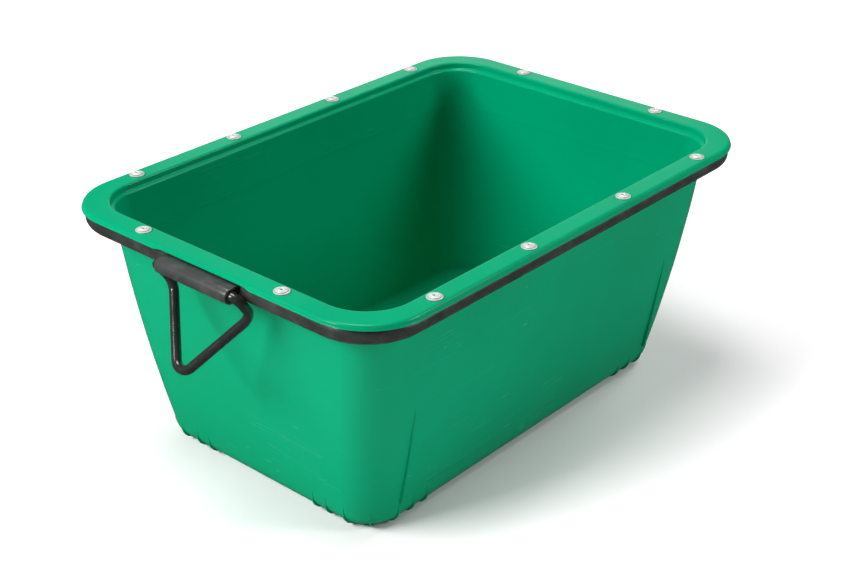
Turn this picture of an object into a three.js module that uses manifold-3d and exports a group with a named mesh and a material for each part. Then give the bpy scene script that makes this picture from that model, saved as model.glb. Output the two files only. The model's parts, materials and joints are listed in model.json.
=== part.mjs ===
// Mortar mixing tub, 200 litre class: a moulded plastic tub whose flanged rim is riveted
// down onto a steel tube frame, with a swinging lifting loop in a rolled sleeve at each end.
//
// Units are millimetres. +Z is up, the tub is longest along Y, and the origin is on the
// floor under the middle of the tub.

import * as THREE from 'three';
import { mergeVertices } from 'three/addons/utils/BufferGeometryUtils.js';
import Module from 'manifold-3d';

// ---------------------------------------------------------------- driving dimensions

const RIM_LENGTH = 1000;
const RIM_WIDTH = 700;
const RIM_HEIGHT = 443;
const RIM_CORNER = 105;
const FLANGE_THICKNESS = 5;
const LIP_DEPTH = 12;
const END_LIP_SHARE = 0.51;

const OPENING_LENGTH = 926;
const OPENING_WIDTH = 629;
const OPENING_CORNER = 84;

const WALL_THICKNESS = 5;
const BASE_THICKNESS = 6;
const BASE_ROUNDING = 38;
const WALL_TOP_Z = 409;
const WALL_TOP_HALF_X = 308;
const WALL_TOP_HALF_Y = 451;
const WALL_CORNER_TOP = 72;
const WALL_CORNER_BASE = 69;
const DRAFT_X = { straight: 34.4, bulge: 21.1 };
const DRAFT_Y = { straight: 31.2, bulge: 17.6 };

const NOTCH_HALF_TOP = 92;
const NOTCH_HALF_BOTTOM = 116;
const NOTCH_DEPTH = 5.3;

const RIB_THICKNESS = 4;
const RIB_Y = 336;
const RIB_TOP_Z = 240;
const RIB_FOOT_Z = 48;
const RIB_HEIGHT = 5;

const FIN_THICKNESS = 4;
const FIN_ROUNDING = 32;
const FINS_ON_ENDS = [123, 152, 191];
const FINS_ON_SIDES = [267, 299, 336];

const TUBE_RADIUS = 16.85;
const TUBE_WALL = 3.2;
const TUBE_HALF_X = 330;
const TUBE_HALF_Y = 478;
const TUBE_CORNER = 85;
const TUBE_Z = RIM_HEIGHT - FLANGE_THICKNESS - 0.5 - TUBE_RADIUS;

const RIVETS_ALONG_SIDES = [-344.5, -124.5, 124.5, 344.5];
const RIVETS_ALONG_ENDS = [-153.6, 153.6];
const RIVET_HOLE_RADIUS = 4.3;
const WASHER_RADIUS = 12.8;
const WASHER_THICKNESS = 1.6;

const PIN_Y = 510;
const PIN_Z = RIM_HEIGHT - 22;
const ROD_RADIUS = 8;
const SLEEVE_HALF_LENGTH = 79;
const SLEEVE_INNER_RADIUS = 9.2;
const SLEEVE_PLATE = 3.8;
const SLEEVE_LEG_END_Y = 492.4;

// Corners of the lifting loop's centre line, front end, from the pin's axis.
const LOOP_PIN_HALF = 94;
const LOOP_ELBOW = { x: 88, out: -31, drop: 42 };
const LOOP_TIP = { out: 47.4, drop: 151 };
const PIN_BEND = 14;
const ELBOW_BEND = 28;
const TIP_BEND = 20;

// ---------------------------------------------------------------- materials

function finish(color, roughness, metalness) {
  return new THREE.MeshStandardMaterial({ color, roughness, metalness });
}

const greenPlastic = finish(0x00995f, 0.38, 0);
const blackPaint = finish(0x2b302d, 0.42, 0.3);
const loopPaint = finish(0x30322f, 0.34, 0.35);
const aluminium = finish(0xc9cac8, 0.3, 0.9);
const zincSteel = finish(0xb4b8b6, 0.35, 0.85);
const mandrelSteel = finish(0x6d706f, 0.45, 0.8);

// ---------------------------------------------------------------- joining and cutting

const wasm = await Module();
wasm.setup();

function toSolid(geometry) {
  const bare = geometry.clone();
  bare.deleteAttribute('normal');
  bare.deleteAttribute('uv');
  const merged = mergeVertices(bare, 1e-4);
  return new wasm.Manifold(new wasm.Mesh({
    numProp: 3,
    vertProperties: new Float32Array(merged.attributes.position.array),
    triVerts: new Uint32Array(merged.index.array),
  }));
}

function toGeometry(solid) {
  const mesh = solid.getMesh();
  const geometry = new THREE.BufferGeometry();
  geometry.setAttribute('position', new THREE.BufferAttribute(new Float32Array(mesh.vertProperties), 3));
  geometry.setIndex(new THREE.BufferAttribute(new Uint32Array(mesh.triVerts), 1));
  geometry.computeVertexNormals();
  return geometry;
}

// ---------------------------------------------------------------- shape helpers

// Points of a rounded rectangle, anticlockwise seen from above.
function roundedRectangle(halfX, halfY, radius, z, steps = 5) {
  const points = [];
  const corners = [[1, -1, -90], [1, 1, 0], [-1, 1, 90], [-1, -1, 180]];
  for (const [sideX, sideY, start] of corners) {
    for (let i = 0; i <= steps; i += 1) {
      const angle = THREE.MathUtils.degToRad(start + (90 * i) / steps);
      points.push(new THREE.Vector3(
        sideX * (halfX - radius) + radius * Math.cos(angle),
        sideY * (halfY - radius) + radius * Math.sin(angle),
        z,
      ));
    }
  }
  return points;
}

// Skin over a stack of loops. A closed stack joins its last loop to its first, and an
// open one is capped by a fan on its first and last loops.
function loft(loops, closed) {
  const positions = [];
  const index = [];
  const count = loops[0].length;
  for (const loop of loops) {
    for (const point of loop) positions.push(point.x, point.y, point.z);
  }
  const bands = closed ? loops.length : loops.length - 1;
  for (let i = 0; i < bands; i += 1) {
    const here = i * count;
    const next = ((i + 1) % loops.length) * count;
    for (let j = 0; j < count; j += 1) {
      const k = (j + 1) % count;
      index.push(here + j, here + k, next + j);
      index.push(here + k, next + k, next + j);
    }
  }
  if (!closed) {
    for (const end of [0, loops.length - 1]) {
      const centre = positions.length / 3;
      positions.push(0, 0, loops[end][0].z);
      for (let j = 0; j < count; j += 1) {
        const a = end * count + j;
        const b = end * count + ((j + 1) % count);
        if (end === 0) index.push(centre, b, a);
        else index.push(centre, a, b);
      }
    }
  }
  const geometry = new THREE.BufferGeometry();
  geometry.setAttribute('position', new THREE.Float32BufferAttribute(positions, 3));
  geometry.setIndex(index);
  geometry.computeVertexNormals();
  return geometry;
}

function uprightCylinder(radius, lowZ, highZ, x, y, sides = 12) {
  const geometry = new THREE.CylinderGeometry(radius, radius, highZ - lowZ, sides);
  geometry.rotateX(Math.PI / 2);
  geometry.translate(x, y, (lowZ + highZ) / 2);
  return geometry;
}

function lathe(profile, sides) {
  const points = profile.map(([radius, height]) => new THREE.Vector2(radius, height));
  const geometry = new THREE.LatheGeometry(points, sides);
  geometry.rotateX(Math.PI / 2);
  return geometry;
}

// A flat plate of the given outline in the plane that stands on the X axis, its thickness
// centred on that plane.
function uprightPlate(outline, thickness) {
  const shape = new THREE.Shape(outline.map(([x, z]) => new THREE.Vector2(x, z)));
  const geometry = new THREE.ExtrudeGeometry(shape, {
    depth: thickness,
    bevelEnabled: false,
    curveSegments: 8,
  });
  geometry.rotateX(Math.PI / 2);
  geometry.translate(0, thickness / 2, 0);
  return geometry;
}

// ---------------------------------------------------------------- tub shell

// Outside of the wall at a height: half sizes and corner radius.
function wallAt(z) {
  const t = (WALL_TOP_Z - z) / (WALL_TOP_Z - BASE_ROUNDING);
  const curve = t > 0 ? t * t : 0;
  return {
    halfX: WALL_TOP_HALF_X - DRAFT_X.straight * t - DRAFT_X.bulge * curve,
    halfY: WALL_TOP_HALF_Y - DRAFT_Y.straight * t - DRAFT_Y.bulge * curve,
    corner: THREE.MathUtils.lerp(WALL_CORNER_TOP, WALL_CORNER_BASE, t),
  };
}

function wallLoop(z, inset) {
  const wall = wallAt(z);
  return roundedRectangle(wall.halfX - inset, wall.halfY - inset, wall.corner - inset, z);
}

// Rounding between wall and base, as loops from the base up.
function baseRounding(inset) {
  const radius = BASE_ROUNDING - inset;
  const floorZ = inset === 0 ? 0 : BASE_THICKNESS;
  const foot = wallAt(BASE_ROUNDING);
  const loops = [];
  for (const degrees of [0, 22.5, 45, 67.5]) {
    const angle = THREE.MathUtils.degToRad(degrees);
    const pulled = inset + radius * (1 - Math.sin(angle));
    const rise = (BASE_ROUNDING - floorZ) * (1 - Math.cos(angle));
    loops.push(roundedRectangle(
      foot.halfX - pulled,
      foot.halfY - pulled,
      foot.corner - pulled,
      floorZ + rise,
    ));
  }
  return loops;
}

// Below the flange the lip is shorter along the ends, and changes over round each corner.
function rimLoop(inset, depth) {
  const loop = roundedRectangle(
    RIM_WIDTH / 2 - inset,
    RIM_LENGTH / 2 - inset,
    RIM_CORNER - inset,
    RIM_HEIGHT - depth,
  );
  const belowFlange = Math.max(depth - FLANGE_THICKNESS, 0);
  for (const point of loop) {
    const past = (Math.abs(point.y) - (RIM_LENGTH / 2 - RIM_CORNER)) / RIM_CORNER;
    const share = 1 - (1 - THREE.MathUtils.clamp(past, 0, 1)) ** 2;
    point.z += belowFlange * (1 - END_LIP_SHARE) * share;
  }
  return loop;
}

function openingLoop(inset, depth) {
  return roundedRectangle(
    OPENING_WIDTH / 2 - inset,
    OPENING_LENGTH / 2 - inset,
    OPENING_CORNER - inset,
    RIM_HEIGHT - depth,
  );
}

const wallHeights = [BASE_ROUNDING, 95, 155, 220, 285, 350, WALL_TOP_Z];

const shellLoops = [
  ...baseRounding(0),
  ...wallHeights.map((z) => wallLoop(z, 0)),
  wallLoop(RIM_HEIGHT - 20, 0),
  openingLoop(0.6, 12),
  openingLoop(0.2, 7.5),
  openingLoop(-2, FLANGE_THICKNESS),
  rimLoop(5.6, FLANGE_THICKNESS),
  rimLoop(4.6, 6),
  rimLoop(4.4, LIP_DEPTH - 0.8),
  rimLoop(3.4, LIP_DEPTH),
  rimLoop(1.2, LIP_DEPTH),
  rimLoop(0, LIP_DEPTH - 1.4),
  rimLoop(0.1, 9.8),
  rimLoop(1.1, 8),
  rimLoop(1.4, 5.6),
  rimLoop(3.2, 1.9),
  rimLoop(6.6, 0),
  openingLoop(0, 0),
  openingLoop(2.6, 1.1),
  openingLoop(4, 3.6),
  openingLoop(4.7, 10.5),
  wallLoop(RIM_HEIGHT - 14.5, WALL_THICKNESS - 1.2),
  ...[RIM_HEIGHT - 18, ...wallHeights.slice().reverse()].map((z) => wallLoop(z, WALL_THICKNESS)),
  ...baseRounding(WALL_THICKNESS).reverse(),
];

let shell = toSolid(loft(shellLoops, false));

// Stacking ribs on both long walls: nothing at the top, tallest at the blunt foot.
const ribOutline = [];
const ribSteps = 6;
for (let i = 0; i <= ribSteps; i += 1) {
  const z = THREE.MathUtils.lerp(RIB_TOP_Z, RIB_FOOT_Z, i / ribSteps);
  ribOutline.push([wallAt(z).halfX + (RIB_HEIGHT * i) / ribSteps - 0.2, z]);
}
for (let i = ribSteps; i >= 0; i -= 1) {
  const z = THREE.MathUtils.lerp(RIB_TOP_Z, RIB_FOOT_Z, i / ribSteps);
  ribOutline.push([wallAt(z).halfX - 3, z]);
}
for (const side of [1, -1]) {
  for (const y of [-RIB_Y, RIB_Y]) {
    const rib = uprightPlate(ribOutline, RIB_THICKNESS);
    if (side < 0) rib.rotateZ(Math.PI);
    rib.translate(0, y, 0);
    shell = shell.add(toSolid(rib));
  }
}

// Fins under the base rounding: each fills the rounding out to a tighter corner. The
// outline is measured outward from the face of the wall at the top of the rounding.
const finOutline = [[-BASE_ROUNDING - 2, 1.5], [-BASE_ROUNDING - 2, 0], [-FIN_ROUNDING, 0]];
for (const degrees of [30, 60]) {
  const angle = THREE.MathUtils.degToRad(degrees);
  finOutline.push([
    FIN_ROUNDING * (Math.sin(angle) - 1),
    FIN_ROUNDING * (1 - Math.cos(angle)),
  ]);
}
finOutline.push([0, FIN_ROUNDING], [1.2, 44], [-1.5, 50]);
for (const degrees of [75, 45, 15]) {
  const angle = THREE.MathUtils.degToRad(degrees);
  const radius = BASE_ROUNDING - 2.5;
  finOutline.push([
    radius * (Math.sin(angle) - 1) - 2.5,
    BASE_ROUNDING - radius * Math.cos(angle),
  ]);
}

function addFin(x, y, turn) {
  const fin = uprightPlate(finOutline, FIN_THICKNESS);
  fin.rotateZ(turn);
  fin.translate(x, y, 0);
  shell = shell.add(toSolid(fin));
}

const foot = wallAt(BASE_ROUNDING);
// How far the corner arc has pulled a wall in, at a distance along that wall.
function cornerPull(along, halfAlong) {
  const past = Math.max(0, along - (halfAlong - foot.corner));
  return foot.corner - Math.sqrt(foot.corner ** 2 - past ** 2);
}
for (const sideX of [1, -1]) {
  for (const sideY of [1, -1]) {
    for (const x of FINS_ON_ENDS) {
      const y = foot.halfY - cornerPull(x, foot.halfX);
      addFin(sideX * x, sideY * y, (sideY * Math.PI) / 2);
    }
    for (const y of FINS_ON_SIDES) {
      const x = foot.halfX - cornerPull(y, foot.halfY);
      addFin(sideX * x, sideY * y, sideX > 0 ? 0 : Math.PI);
    }
    const reach = foot.corner * Math.SQRT1_2;
    addFin(
      sideX * (foot.halfX - foot.corner + reach),
      sideY * (foot.halfY - foot.corner + reach),
      Math.atan2(sideY, sideX),
    );
  }
}

// Notch in the lip over each sleeve, with sloping ends.
const notchOutline = [
  [-NOTCH_HALF_BOTTOM, -LIP_DEPTH - 2],
  [NOTCH_HALF_BOTTOM, -LIP_DEPTH - 2],
  [NOTCH_HALF_BOTTOM, -LIP_DEPTH],
  [NOTCH_HALF_TOP + 6, -NOTCH_DEPTH - 1],
  [NOTCH_HALF_TOP, -NOTCH_DEPTH],
  [-NOTCH_HALF_TOP, -NOTCH_DEPTH],
  [-NOTCH_HALF_TOP - 6, -NOTCH_DEPTH - 1],
  [-NOTCH_HALF_BOTTOM, -LIP_DEPTH],
];
for (const end of [-1, 1]) {
  const notch = uprightPlate(notchOutline, 12);
  notch.translate(0, end * (RIM_LENGTH / 2), RIM_HEIGHT);
  shell = shell.subtract(toSolid(notch));
}

// ---------------------------------------------------------------- fastener positions

const fasteners = [];
for (const x of RIVETS_ALONG_ENDS) fasteners.push([x, -TUBE_HALF_Y]);
for (const y of RIVETS_ALONG_SIDES) fasteners.push([TUBE_HALF_X, y]);
for (const x of RIVETS_ALONG_ENDS.slice().reverse()) fasteners.push([x, TUBE_HALF_Y]);
for (const y of RIVETS_ALONG_SIDES.slice().reverse()) fasteners.push([-TUBE_HALF_X, y]);

for (const [x, y] of fasteners) {
  const below = RIM_HEIGHT - FLANGE_THICKNESS - 1;
  const hole = uprightCylinder(RIVET_HOLE_RADIUS, below, RIM_HEIGHT + 1, x, y);
  shell = shell.subtract(toSolid(hole));
}

// ---------------------------------------------------------------- steel rim frame

function ringOfTube(radius, sides) {
  const loops = [];
  for (let i = 0; i < sides; i += 1) {
    const angle = (2 * Math.PI * i) / sides;
    const out = radius * Math.cos(angle);
    loops.push(roundedRectangle(
      TUBE_HALF_X + out,
      TUBE_HALF_Y + out,
      TUBE_CORNER + out,
      TUBE_Z + radius * Math.sin(angle),
      6,
    ));
  }
  return toSolid(loft(loops, true));
}

let frame = ringOfTube(TUBE_RADIUS, 16).subtract(ringOfTube(TUBE_RADIUS - TUBE_WALL, 12));
for (const [x, y] of fasteners) {
  const hole = uprightCylinder(RIVET_HOLE_RADIUS, TUBE_Z + 3, TUBE_Z + TUBE_RADIUS + 1, x, y);
  frame = frame.subtract(toSolid(hole));
}

// ---------------------------------------------------------------- handle sleeve

// Plate rolled around the pin, open toward the tub, with a flat leg welded to the tube.
function sleeveGeometry() {
  const outer = SLEEVE_INNER_RADIUS + SLEEVE_PLATE;
  const legLength = PIN_Y - SLEEVE_LEG_END_Y;
  const curlEnd = THREE.MathUtils.degToRad(296);
  const section = new THREE.Shape();
  section.moveTo(legLength, SLEEVE_INNER_RADIUS);
  section.lineTo(legLength, outer);
  section.lineTo(0, outer);
  section.absarc(0, 0, outer, Math.PI / 2, curlEnd, false);
  section.absarc(0, 0, SLEEVE_INNER_RADIUS, curlEnd, Math.PI / 2, true);
  section.closePath();
  const geometry = new THREE.ExtrudeGeometry(section, {
    depth: 2 * SLEEVE_HALF_LENGTH,
    bevelEnabled: false,
    curveSegments: 14,
  });
  geometry.translate(0, 0, -SLEEVE_HALF_LENGTH);
  geometry.rotateX(Math.PI / 2);
  geometry.rotateZ(Math.PI / 2);
  return geometry;
}

// ---------------------------------------------------------------- lifting loop

// Closed centre line with each corner replaced by an arc of its own bend radius.
function bentLoop(corners) {
  const points = [];
  const count = corners.length;
  corners.forEach(({ at, bend, steps }, i) => {
    const before = corners[(i + count - 1) % count].at.clone().sub(at).normalize();
    const after = corners[(i + 1) % count].at.clone().sub(at).normalize();
    const opening = before.angleTo(after);
    const setback = bend / Math.tan(opening / 2);
    const inward = before.clone().add(after).normalize();
    const centre = inward.multiplyScalar(bend / Math.sin(opening / 2)).add(at);
    const start = before.clone().multiplyScalar(setback).add(at).sub(centre);
    const stop = after.clone().multiplyScalar(setback).add(at).sub(centre);
    const axis = start.clone().cross(stop).normalize();
    const sweep = start.angleTo(stop);
    for (let k = 0; k <= steps; k += 1) {
      points.push(start.clone().applyAxisAngle(axis, (sweep * k) / steps).add(centre));
    }
  });
  return points;
}

// Round rod along a closed centre line, its sections carried round without twisting and
// the last small twist shared out so that the seam meets.
function closedRod(points, radius, sides) {
  const count = points.length;
  const tangents = points.map((point, i) => {
    const ahead = points[(i + 1) % count].clone().sub(point).normalize();
    const behind = point.clone().sub(points[(i + count - 1) % count]).normalize();
    return ahead.add(behind).normalize();
  });
  const carry = (normal, from, to) => normal.clone()
    .applyQuaternion(new THREE.Quaternion().setFromUnitVectors(from, to));
  const normals = [new THREE.Vector3(0, 0, 1).cross(tangents[0]).normalize()];
  for (let i = 1; i < count; i += 1) {
    normals.push(carry(normals[i - 1], tangents[i - 1], tangents[i]));
  }
  const last = carry(normals[count - 1], tangents[count - 1], tangents[0]);
  const turn = last.clone().cross(normals[0]).dot(tangents[0]);
  const twist = last.angleTo(normals[0]) * Math.sign(turn);
  const loops = points.map((point, i) => {
    const normal = normals[i].clone().applyAxisAngle(tangents[i], (twist * i) / count);
    const side = tangents[i].clone().cross(normal);
    const loop = [];
    for (let k = 0; k < sides; k += 1) {
      const angle = (2 * Math.PI * k) / sides;
      loop.push(point.clone()
        .addScaledVector(normal, radius * Math.cos(angle))
        .addScaledVector(side, radius * Math.sin(angle)));
    }
    return loop;
  });
  return loft(loops, true);
}

// The loop as it hangs at the front end, measured from the middle of its pin: +Y is in
// toward the tub.
function liftingLoopGeometry() {
  const corner = (x, y, z, bend, steps) => ({ at: new THREE.Vector3(x, y, z), bend, steps });
  return closedRod(bentLoop([
    corner(LOOP_PIN_HALF, 0, 0, PIN_BEND, 5),
    corner(-LOOP_PIN_HALF, 0, 0, PIN_BEND, 5),
    corner(-LOOP_ELBOW.x, -LOOP_ELBOW.out, -LOOP_ELBOW.drop, ELBOW_BEND, 5),
    corner(0, -LOOP_TIP.out, -LOOP_TIP.drop, TIP_BEND, 6),
    corner(LOOP_ELBOW.x, -LOOP_ELBOW.out, -LOOP_ELBOW.drop, ELBOW_BEND, 5),
  ]), ROD_RADIUS, 10);
}

// ---------------------------------------------------------------- rivets

// Heights are from the top of the rim. The rivet is a hollow sleeve with a wide head,
// bulged out inside the frame tube by the mandrel that stays in its bore.
const rivetProfile = [
  [2.4, -21],
  [4.8, -20.6],
  [6.2, -16.5],
  [5.4, -12.6],
  [3.9, -10.6],
  [3.9, 2.2],
  [9.3, 2.2],
  [9.3, 3],
  [7.7, 4.5],
  [5.7, 4.8],
  [4.4, 3.9],
  [2.4, 3.7],
  [2.4, -21],
];

const mandrelProfile = [
  [0, -23.8],
  [3.3, -23.2],
  [3.3, -21.3],
  [2, -21.3],
  [2, 3],
  [0, 3.3],
];

const washerProfile = [
  [4.2, 0.3],
  [WASHER_RADIUS, 0.3],
  [WASHER_RADIUS, 0.3 + WASHER_THICKNESS - 0.4],
  [WASHER_RADIUS - 0.5, 0.3 + WASHER_THICKNESS],
  [4.2, 0.3 + WASHER_THICKNESS],
  [4.2, 0.3],
];

const rivetGeometry = lathe(rivetProfile, 12);
const mandrelGeometry = lathe(mandrelProfile, 8);
const washerGeometry = lathe(washerProfile, 16);

// ---------------------------------------------------------------- assembly

const tub = new THREE.Group();

function place(parent, name, geometry, material) {
  const mesh = new THREE.Mesh(geometry, material);
  mesh.name = name;
  parent.add(mesh);
  return mesh;
}

place(tub, 'tub_shell', toGeometry(shell), greenPlastic);
place(tub, 'rim_frame', toGeometry(frame), blackPaint);

for (const [end, turn] of [['front', 0], ['back', Math.PI]]) {
  const endGroup = new THREE.Group();
  endGroup.rotation.z = turn;
  tub.add(endGroup);
  const sleeve = place(endGroup, `handle_sleeve_${end}`, sleeveGeometry(), blackPaint);
  sleeve.position.set(0, -PIN_Y, PIN_Z);
  const loop = place(endGroup, `handle_${end}`, liftingLoopGeometry(), loopPaint);
  loop.position.set(0, -PIN_Y, PIN_Z);
}

fasteners.forEach(([x, y], i) => {
  const number = String(i + 1).padStart(2, '0');
  const fastener = new THREE.Group();
  fastener.position.set(x, y, RIM_HEIGHT);
  tub.add(fastener);
  place(fastener, `washer_${number}`, washerGeometry, zincSteel);
  place(fastener, `rivet_${number}`, rivetGeometry, aluminium);
  place(fastener, `mandrel_${number}`, mandrelGeometry, mandrelSteel);
});

export default tub;
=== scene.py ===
"""Looks of the mortar mixing tub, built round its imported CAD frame. Metres, +Z up, floor at z = 0."""

import json
import math

import bmesh
import bpy
from mathutils import Matrix, Vector, noise


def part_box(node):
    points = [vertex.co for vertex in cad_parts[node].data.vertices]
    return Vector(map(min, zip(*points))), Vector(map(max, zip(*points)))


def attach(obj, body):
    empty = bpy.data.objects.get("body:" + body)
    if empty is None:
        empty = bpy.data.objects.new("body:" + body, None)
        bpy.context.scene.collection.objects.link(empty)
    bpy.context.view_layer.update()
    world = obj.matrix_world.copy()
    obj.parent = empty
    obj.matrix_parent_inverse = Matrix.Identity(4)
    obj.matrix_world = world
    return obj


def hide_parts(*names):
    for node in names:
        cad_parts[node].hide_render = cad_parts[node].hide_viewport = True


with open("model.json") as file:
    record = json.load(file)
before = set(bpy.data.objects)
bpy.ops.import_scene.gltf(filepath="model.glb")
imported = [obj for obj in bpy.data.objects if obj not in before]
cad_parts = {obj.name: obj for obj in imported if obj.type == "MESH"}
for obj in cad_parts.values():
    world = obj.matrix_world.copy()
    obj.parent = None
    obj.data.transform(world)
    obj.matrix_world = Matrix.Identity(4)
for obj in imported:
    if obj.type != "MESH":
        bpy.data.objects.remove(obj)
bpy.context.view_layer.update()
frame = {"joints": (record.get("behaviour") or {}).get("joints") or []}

MM = 0.001

# ---------------------------------------------------------------- driving dimensions

shell_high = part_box("tub_shell")[1]
tube_low, tube_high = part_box("rim_frame")
sleeve_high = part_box("handle_sleeve_front")[1]

RIM_HALF_X = shell_high.x
RIM_HALF_Y = shell_high.y
RIM_Z = shell_high.z
RIM_CORNER = 105 * MM
OPENING_HALF_X = RIM_HALF_X - 35.5 * MM
OPENING_HALF_Y = RIM_HALF_Y - 37 * MM
OPENING_CORNER = 84 * MM
FLANGE_THICKNESS = 5 * MM
LIP_DEPTH = 12 * MM
# the share of the lip below the flange that is left along the tub's two ends
END_LIP_SHARE = 0.51

WALL_THICKNESS = 5 * MM
BASE_THICKNESS = 6 * MM
BASE_ROUNDING = 38 * MM
WALL_TOP_Z = 409 * MM
WALL_TOP_HALF_X = 308 * MM
WALL_TOP_HALF_Y = 451 * MM
WALL_CORNER_TOP = 72 * MM
WALL_CORNER_BASE = 69 * MM
# how far the walls lean in from their top to the base rounding: evenly, and growing downward
DRAFT_X = (34.4 * MM, 21.1 * MM)
DRAFT_Y = (31.2 * MM, 17.6 * MM)
MOULD_LINE_Z = 358 * MM
MOULD_LINE_HEIGHT = 0.28 * MM
# the walls' swell: its slow and quick part, and where it fades out toward rim and base
SLOW_SWELL = 0.7 * MM
QUICK_SWELL = 0.22 * MM
SWELL_FADE_TOP = 60 * MM
SWELL_START_Z = 30 * MM
SWELL_FADE_BASE = 50 * MM

# the notch in the lip over each sleeve: its flat, a short shoulder, then a slope to the full lip
NOTCH_HALF_TOP = 92 * MM
NOTCH_SHOULDER = NOTCH_HALF_TOP + 6 * MM
NOTCH_HALF_BOTTOM = 116 * MM
NOTCH_DEPTH = 5.3 * MM
NOTCH_SHOULDER_DEPTH = NOTCH_DEPTH + MM
NO_NOTCH = 1.0

RIB_Y = 336 * MM
RIB_TOP_Z = 240 * MM
RIB_FOOT_Z = 48 * MM
RIB_HEIGHT = 5 * MM
RIB_THICKNESS = 4 * MM
RIB_STEPS = 24

FIN_THICKNESS = 4 * MM
FIN_ROUNDING = 30 * MM
FIN_BEVEL = 0.7 * MM
FINS_ON_ENDS = (123 * MM, 152 * MM, 191 * MM)
FINS_ON_SIDES = (267 * MM, 299 * MM, 336 * MM)

TUBE_RADIUS = (tube_high.z - tube_low.z) / 2
TUBE_Z = (tube_high.z + tube_low.z) / 2
TUBE_HALF_X = tube_high.x - TUBE_RADIUS
TUBE_HALF_Y = tube_high.y - TUBE_RADIUS
TUBE_CORNER = 85 * MM
TUBE_SIDES = 36

PIN = {joint["child"]: Vector(joint["pos_m"]) for joint in frame["joints"]}
ROD_RADIUS = 8 * MM
SLEEVE_HALF_LENGTH = sleeve_high.x
SLEEVE_INNER = 9.2 * MM
SLEEVE_PLATE = 3.8 * MM
SLEEVE_CURL_END = 296
SLEEVE_EDGE = 0.7 * MM

# runs of weld under a sleeve's leg, as shares of the sleeve's half length
WELD_RUNS = ((-0.92, -0.5), (-0.2, 0.2), (0.5, 0.92))
WELD_RADIUS = 2.5 * MM
WELD_PITCH = 2.2 * MM
WELD_IN = 18.6 * MM
WELD_UP = 8.0 * MM
WELD_SIDES = 12

# corners of the front loop's centre line, from the middle of its pin
LOOP_PIN_HALF = 94 * MM
LOOP_ELBOW = Vector((88, 31, -42)) * MM
LOOP_TIP = Vector((0, -47.4, -151)) * MM
PIN_BEND = 14 * MM
ELBOW_BEND = 28 * MM
TIP_BEND = 20 * MM
BEND_STEPS = 14
TIP_STEPS = 18
ROD_STEP = 9 * MM
ROD_SIDES = 28

FASTENERS = 12
FASTENER_WOBBLE = 0.05 * MM

CORNER_STEPS = 16

CAMERA_PLACE = (1.6618, -1.8924, 1.5253)
# azimuth, elevation and roll in degrees
CAMERA_LOOK = (41.1, 27.433, 0.288)
CAMERA_LENS = 68.177
FLOOR_HALF = 14.0


# ---------------------------------------------------------------- mesh helpers

def new_piece(name, bm, body, material, sharp=35):
    """Turns a bmesh into a named piece: faces out, smooth but for edges sharper than that angle."""
    bmesh.ops.remove_doubles(bm, verts=bm.verts, dist=1e-6)
    bmesh.ops.recalc_face_normals(bm, faces=bm.faces)
    for face in bm.faces:
        face.smooth = True
    for edge in bm.edges:
        edge.smooth = edge.calc_face_angle(0) < math.radians(sharp)
    mesh = bpy.data.meshes.new(name)
    bm.to_mesh(mesh)
    bm.free()
    mesh.materials.append(material)
    piece = bpy.data.objects.new(name, mesh)
    bpy.context.scene.collection.objects.link(piece)
    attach(piece, body)
    return piece


def weighted(piece):
    """Lets large faces set the shading, so that flat stretches next to roundings stay flat."""
    modifier = piece.modifiers.new("normals", "WEIGHTED_NORMAL")
    modifier.keep_sharp = True


def skin(bm, loops, closed_stack, capped=False):
    """Quads between loops of the same number of points; each loop closes on itself."""
    rows = [[bm.verts.new(point) for point in loop] for loop in loops]
    count = len(rows[0])
    pairs = list(zip(rows, rows[1:]))
    if closed_stack:
        pairs.append((rows[-1], rows[0]))
    for here, there in pairs:
        for j in range(count):
            k = (j + 1) % count
            bm.faces.new((here[j], here[k], there[k], there[j]))
    if capped:
        bm.faces.new(list(reversed(rows[0])))
        bm.faces.new(rows[-1])


def lathe(profile, sides, centre):
    """A closed or axis-to-axis profile of (radius, height) turned about a vertical axis."""
    bm = bmesh.new()
    closed = profile[0] == profile[-1]
    points = profile[:-1] if closed else profile
    loops = []
    for radius, height in points:
        ring = []
        for j in range(sides):
            angle = 2 * math.pi * j / sides
            ring.append(centre + Vector((radius * math.cos(angle), radius * math.sin(angle), height)))
        loops.append(ring)
    skin(bm, loops, closed)
    return bm


def arc(start, stop, steps):
    """Angles in radians, spaced evenly between two given in degrees."""
    return [math.radians(start + (stop - start) * i / steps) for i in range(steps + 1)]


def lerp(a, b, t):
    return a + (b - a) * t


# ---------------------------------------------------------------- node helpers

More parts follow.
